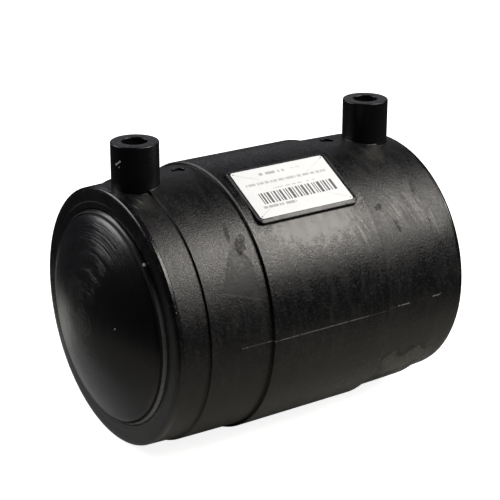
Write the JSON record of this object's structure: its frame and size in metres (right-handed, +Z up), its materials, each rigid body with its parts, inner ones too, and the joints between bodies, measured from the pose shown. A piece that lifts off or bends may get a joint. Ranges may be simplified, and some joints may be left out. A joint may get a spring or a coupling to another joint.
{
  "type": "electrofusion end cap",
  "caption": "Black polyethylene electrofusion coupler closed at one end by a domed plug, with two shrouded terminals, fusion indicators and a label pad.",
  "frame": {"origin": "centre of the open mouth's rim plane, on the pipe socket's axis", "axes": "+X along the pipe socket's axis, out of the open mouth; +Z up, the way both terminals point"},
  "size_m": [0.155, 0.114, 0.1296],
  "materials": {
    "black_polyethylene": "semi-matt moulded, fine grain",
    "plug_polyethylene": "semi-matt, lightly turned",
    "copper_wire": "bright drawn copper",
    "terminal_brass": "turned brass",
    "indicator_polyethylene": "semi-matt",
    "label_paper": "smooth coated paper"
  },
  "bodies": {
    "root": {"coupler_body": "black_polyethylene", "end_plug": "plug_polyethylene", "heating_wire": "copper_wire", "terminal_pin_pipe_side": "terminal_brass", "terminal_pin_plug_side": "terminal_brass", "fusion_indicator_pipe_side": "indicator_polyethylene", "fusion_indicator_plug_side": "indicator_polyethylene", "label": "label_paper"}
  },
  "joints": []
}
